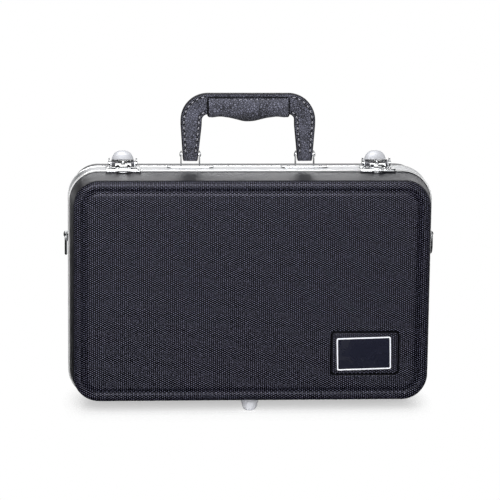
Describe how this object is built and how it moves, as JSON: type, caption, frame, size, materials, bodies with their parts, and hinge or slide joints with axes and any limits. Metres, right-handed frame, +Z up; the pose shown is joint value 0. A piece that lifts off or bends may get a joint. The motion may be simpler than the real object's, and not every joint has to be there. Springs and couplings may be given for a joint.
{
  "type": "clarinet case",
  "caption": "Moulded clarinet case with aluminium valance frames, hinged lid, draw latches, leather handle and strap rings.",
  "frame": {"origin": "centre of the overall box's underside, on the plane the feet stand on", "axes": "+X along the case's width, +Y from the lid to the base (away from the badge), +Z up from the feet to the handle"},
  "size_m": [0.3718, 0.1062, 0.3157],
  "materials": {
    "shell": "moulded ABS with a fine embossed grain",
    "frame": "satin extruded profile",
    "chrome": "bright nickel or chrome plated steel",
    "leather": "grained leatherette, stitched",
    "plush": "short plush over a moulded tray",
    "badge": "dark enamel plate with a bright border, bare"
  },
  "bodies": {
    "base": {"base_shell": "shell", "base_frame": "frame", "base_tray": "plush", "left_hinge_base_leaf": "chrome", "left_hinge_pin": "chrome", "left_latch_plate": "chrome", "left_latch_pin": "chrome", "left_handle_bracket": "chrome", "left_handle_pin": "chrome", "left_ring_clip": "chrome", "left_rear_foot": "chrome", "right_hinge_base_leaf": "chrome", "right_hinge_pin": "chrome", "right_latch_plate": "chrome", "right_latch_pin": "chrome", "right_handle_bracket": "chrome", "right_handle_pin": "chrome", "right_ring_clip": "chrome", "right_rear_foot": "chrome"},
    "lid": {"lid_shell": "shell", "lid_frame": "frame", "lid_lining": "plush", "badge_plate": "badge", "front_foot": "chrome", "left_hinge_lid_leaf": "chrome", "left_latch_catch": "chrome", "right_hinge_lid_leaf": "chrome", "right_latch_catch": "chrome"},
    "handle": {"handle_strap": "leather", "handle_grip": "leather"},
    "left_lever": {"left_latch_lever": "chrome", "left_hook_pin": "chrome"},
    "left_hook": {"left_latch_hook": "chrome"},
    "left_ring": {"left_strap_ring": "chrome"},
    "right_lever": {"right_latch_lever": "chrome", "right_hook_pin": "chrome"},
    "right_hook": {"right_latch_hook": "chrome"},
    "right_ring": {"right_strap_ring": "chrome"}
  },
  "joints": [
    {"name": "lid_hinge", "type": "hinge", "parent": "base", "child": "lid", "pos_m": [0, -0.00295, 0.00705], "axis": [1, 0, 0], "range_deg": [0, 100]},
    {"name": "handle_swing", "type": "hinge", "parent": "base", "child": "handle", "pos_m": [-0.0024, 0.00325, 0.254], "axis": [1, 0, 0], "range_deg": [-90, 90]},
    {"name": "left_latch_lever", "type": "hinge", "parent": "base", "child": "left_lever", "pos_m": [-0.1268, 0.00125, 0.2456], "axis": [1, 0, 0], "range_deg": [0, 80]},
    {"name": "left_latch_hook", "type": "hinge", "parent": "left_lever", "child": "left_hook", "pos_m": [-0.1268, 0.00665, 0.2457], "axis": [1, 0, 0], "range_deg": [-87, 0]},
    {"name": "left_ring_swing", "type": "hinge", "parent": "base", "child": "left_ring", "pos_m": [-0.1835, 0.00325, 0.1736], "axis": [0, 1, 0], "range_deg": [0, 160]},
    {"name": "right_latch_lever", "type": "hinge", "parent": "base", "child": "right_lever", "pos_m": [0.1268, 0.00125, 0.2456], "axis": [1, 0, 0], "range_deg": [0, 80]},
    {"name": "right_latch_hook", "type": "hinge", "parent": "right_lever", "child": "right_hook", "pos_m": [0.1268, 0.00665, 0.2457], "axis": [1, 0, 0], "range_deg": [-87, 0]},
    {"name": "right_ring_swing", "type": "hinge", "parent": "base", "child": "right_ring", "pos_m": [0.1835, 0.00325, 0.1736], "axis": [0, -1, 0], "range_deg": [0, 160]}
  ],
  "couplings": [
    {"joint": "left_latch_hook", "follows": "left_latch_lever", "ratio": -1.08},
    {"joint": "right_latch_hook", "follows": "right_latch_lever", "ratio": -1.08}
  ]
}
